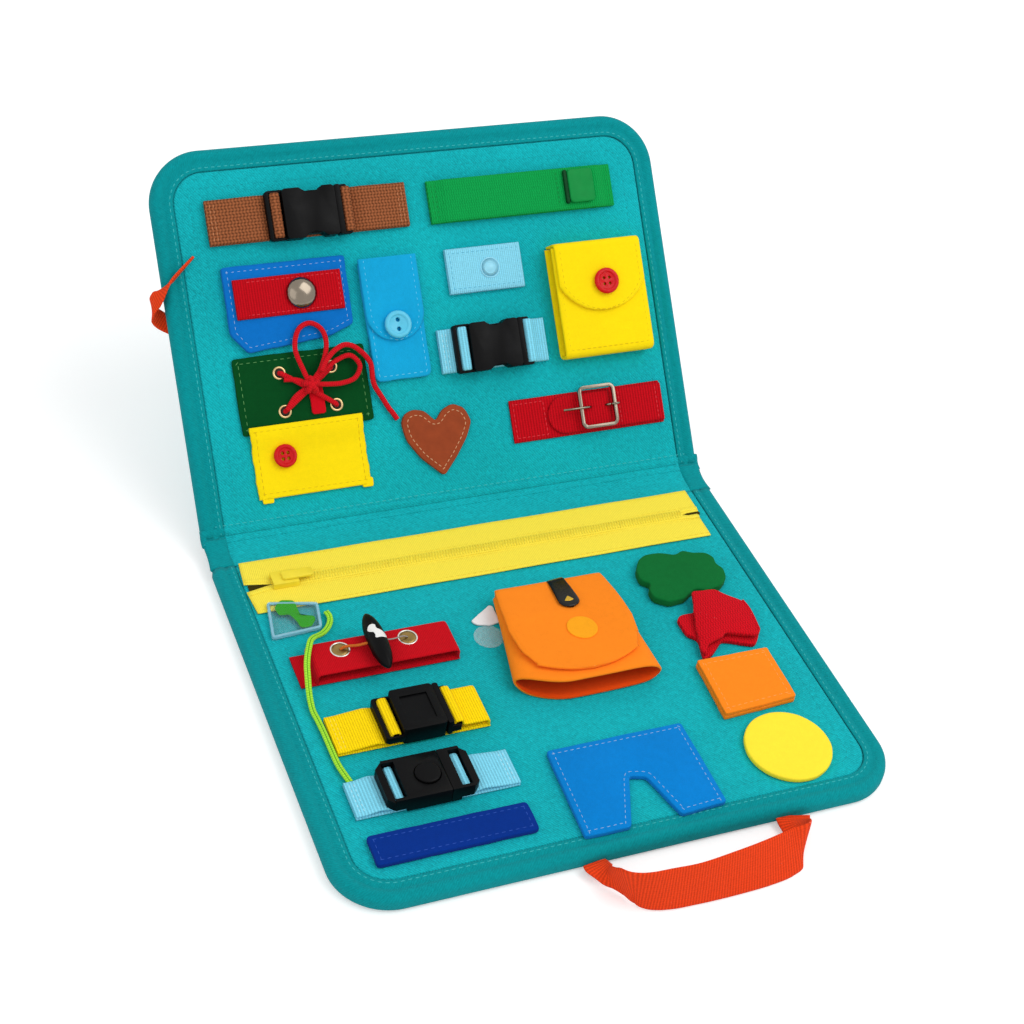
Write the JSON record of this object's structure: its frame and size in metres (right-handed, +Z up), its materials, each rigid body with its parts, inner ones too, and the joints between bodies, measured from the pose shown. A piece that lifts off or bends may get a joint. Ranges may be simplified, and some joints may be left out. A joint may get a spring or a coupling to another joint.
{
  "type": "felt sensory board",
  "caption": "Folding felt sensory board: edge-bound felt panels on a soft spine, with buckles, pouches, a zip, a lacing card, a toggle, hook-and-loop shapes and a carry handle.",
  "frame": {"origin": "middle of the lower panel's underside, which lies on the table", "axes": "+X along the fold, +Y from the front handle towards the fold and the upper panel, +Z up"},
  "size_m": [0.3079, 0.4355, 0.166],
  "materials": {
    "teal_felt": "brushed felt",
    "teal_binding": "woven tape",
    "stiffener_board": "plain",
    "brown_webbing": "ribbed webbing",
    "green_webbing": "ribbed webbing",
    "dark_green_felt": "felt",
    "cloud_green_felt": "felt",
    "tag_green_felt": "felt",
    "lime_cord": "braided cord",
    "blue_felt": "felt",
    "navy_felt": "felt",
    "cyan_felt": "felt",
    "cyan_plastic": "glossy",
    "sky_webbing": "ribbed webbing",
    "red_webbing": "woven",
    "red_plastic": "glossy",
    "red_lace": "round lace",
    "red_felt": "felt",
    "yellow_felt": "felt",
    "zip_yellow": "woven tape",
    "yellow_webbing": "ribbed webbing",
    "orange_felt": "felt",
    "orange_webbing": "woven tape",
    "brown_leather": "smooth",
    "black_plastic": "satin",
    "elastic": "thin cord",
    "clear_film": "clear",
    "nickel": "polished",
    "zip_brass": "polished"
  },
  "bodies": {
    "lower_panel": {"lower_felt_cover": "teal_felt", "lower_stiffener": "stiffener_board", "lower_binding": "teal_binding", "zip_chain": "zip_yellow", "clear_pocket": "clear_film", "green_tag": "tag_green_felt", "lime_cord": "lime_cord", "toggle_band": "red_felt", "toggle_cord": "elastic", "yellow_strap": "yellow_webbing", "yellow_buckle_socket": "black_plastic", "push_strap": "sky_webbing", "push_buckle_body": "black_plastic", "navy_strip": "navy_felt", "orange_pouch": "orange_felt", "film_corner": "clear_film"},
    "spine_strip": {"spine": "teal_binding"},
    "upper_panel": {"upper_felt_cover": "teal_felt", "upper_stiffener": "stiffener_board", "upper_binding": "teal_binding", "brown_strap": "brown_webbing", "brown_buckle_socket": "black_plastic", "green_strap": "green_webbing", "blue_pocket": "blue_felt", "cyan_pocket": "cyan_felt", "lacing_patch": "dark_green_felt", "lace_bow": "red_lace", "yellow_patch": "yellow_felt", "patch_button": "red_plastic", "sky_strap": "sky_webbing", "snap_loop": "sky_webbing", "sky_buckle_socket": "black_plastic", "yellow_pouch": "yellow_felt", "belt_strap": "red_webbing", "lace_tail": "red_lace", "side_loop": "orange_webbing"},
    "zip_pull": {"zip_slider": "zip_brass"},
    "toggle_bar": {"toggle": "black_plastic"},
    "yellow_prong": {"yellow_buckle_prong": "black_plastic"},
    "button_of_buckle": {"push_button": "black_plastic"},
    "buckle_tongue": {"push_buckle_tongue": "black_plastic"},
    "orange_pouch_flap": {"orange_flap": "orange_felt", "black_tab": "black_plastic"},
    "cloud": {"green_cloud": "cloud_green_felt"},
    "trunk": {"red_trunk": "red_felt"},
    "square": {"orange_square": "orange_felt"},
    "circle": {"yellow_circle": "yellow_felt"},
    "trousers": {"blue_trousers": "blue_felt"},
    "handle": {"front_handle": "orange_webbing"},
    "brown_prong": {"brown_buckle_prong": "black_plastic"},
    "sky_prong": {"sky_buckle_prong": "black_plastic"},
    "snap_tab": {"red_snap_strap": "red_webbing", "snap_cap": "nickel"},
    "cyan_pocket_flap": {"cyan_flap": "cyan_felt", "cyan_button": "cyan_plastic"},
    "yellow_pouch_flap": {"yellow_flap": "yellow_felt", "pouch_button": "red_plastic"},
    "buckle_frame": {"belt_frame": "nickel"},
    "buckle_prong": {"belt_prong": "nickel"},
    "heart": {"leather_heart": "brown_leather"}
  },
  "joints": [
    {"name": "spine_fold", "type": "hinge", "parent": "lower_panel", "child": "spine_strip", "pos_m": [0, 0.117, 0.009], "axis": [-1, 0, 0], "range_deg": [-80.4, 9.6]},
    {"name": "upper_fold", "type": "hinge", "parent": "spine_strip", "child": "upper_panel", "pos_m": [0, 0.13652, 0.0123], "axis": [-1, 0, 0], "range_deg": [-44, 37.8]},
    {"name": "front_handle_swing", "type": "hinge", "parent": "lower_panel", "child": "handle", "pos_m": [0.02751, -0.11745, 0.004], "axis": [-1, 0, 0], "range_deg": [0, 50]},
    {"name": "zip_slide", "type": "slide", "parent": "lower_panel", "child": "zip_pull", "axis": [1, 0, 0], "range_m": [0, 0.235]},
    {"name": "toggle_turn", "type": "hinge", "parent": "lower_panel", "child": "toggle_bar", "pos_m": [-0.08649, 0.03171, 0.0222], "axis": [0, 0, 1], "range_deg": [-50, 50], "deforming": ["toggle_cord"]},
    {"name": "yellow_prong_slide", "type": "slide", "parent": "lower_panel", "child": "yellow_prong", "axis": [1, 0, 0], "range_m": [0, 0.014], "deforming": ["yellow_strap"]},
    {"name": "push_press", "type": "slide", "parent": "lower_panel", "child": "button_of_buckle", "axis": [0, 0, -1], "range_m": [0, 0.0015], "stiffness_N_per_m": 500, "springref_m": -0.0005},
    {"name": "push_tongue_slide", "type": "slide", "parent": "lower_panel", "child": "buckle_tongue", "axis": [1, 0, 0], "range_m": [0, 0.012], "deforming": ["push_strap"]},
    {"name": "orange_flap_fold", "type": "hinge", "parent": "lower_panel", "child": "orange_pouch_flap", "pos_m": [0.0165, 0.0552, 0.0134], "axis": [-1, 0, 0], "range_deg": [0, 110]},
    {"name": "cloud_lift", "type": "slide", "parent": "lower_panel", "child": "cloud", "axis": [0, 0, 1], "range_m": [0, 0.03]},
    {"name": "trunk_lift", "type": "slide", "parent": "lower_panel", "child": "trunk", "axis": [0, 0, 1], "range_m": [0, 0.03]},
    {"name": "square_lift", "type": "slide", "parent": "lower_panel", "child": "square", "axis": [0, 0, 1], "range_m": [0, 0.03]},
    {"name": "circle_lift", "type": "slide", "parent": "lower_panel", "child": "circle", "axis": [0, 0, 1], "range_m": [0, 0.03]},
    {"name": "trousers_lift", "type": "slide", "parent": "lower_panel", "child": "trousers", "axis": [0, 0, 1], "range_m": [0, 0.03]},
    {"name": "brown_prong_slide", "type": "slide", "parent": "upper_panel", "child": "brown_prong", "axis": [1, 0, 0], "range_m": [0, 0.024], "deforming": ["brown_strap"]},
    {"name": "sky_prong_slide", "type": "slide", "parent": "upper_panel", "child": "sky_prong", "axis": [1, 0, 0], "range_m": [0, 0.014], "deforming": ["sky_strap"]},
    {"name": "snap_tab_fold", "type": "hinge", "parent": "upper_panel", "child": "snap_tab", "pos_m": [-0.11356, 0.21898, 0.10759], "axis": [0, -0.6769, -0.7361], "range_deg": [0, 90]},
    {"name": "cyan_flap_fold", "type": "hinge", "parent": "upper_panel", "child": "cyan_pocket_flap", "pos_m": [-0.02421, 0.22897, 0.11845], "axis": [-1, 0, 0], "range_deg": [0, 90]},
    {"name": "yellow_flap_fold", "type": "hinge", "parent": "upper_panel", "child": "yellow_pouch_flap", "pos_m": [0.10044, 0.22879, 0.11309], "axis": [-1, 0, 0], "range_deg": [0, 90]},
    {"name": "belt_frame_swing", "type": "hinge", "parent": "upper_panel", "child": "buckle_frame", "pos_m": [0.09951, 0.1593, 0.04756], "axis": [0, 0.6769, 0.7361], "range_deg": [0, 60], "deforming": ["belt_strap"]},
    {"name": "belt_prong_swing", "type": "hinge", "parent": "buckle_frame", "child": "buckle_prong", "pos_m": [0.09951, 0.1593, 0.04756], "axis": [0, 0.6769, 0.7361], "range_deg": [0, 100], "deforming": ["belt_strap"]},
    {"name": "heart_lift", "type": "slide", "parent": "upper_panel", "child": "heart", "axis": [0, -0.7361, 0.6769], "range_m": [0, 0.03], "deforming": ["lace_tail"]}
  ]
}
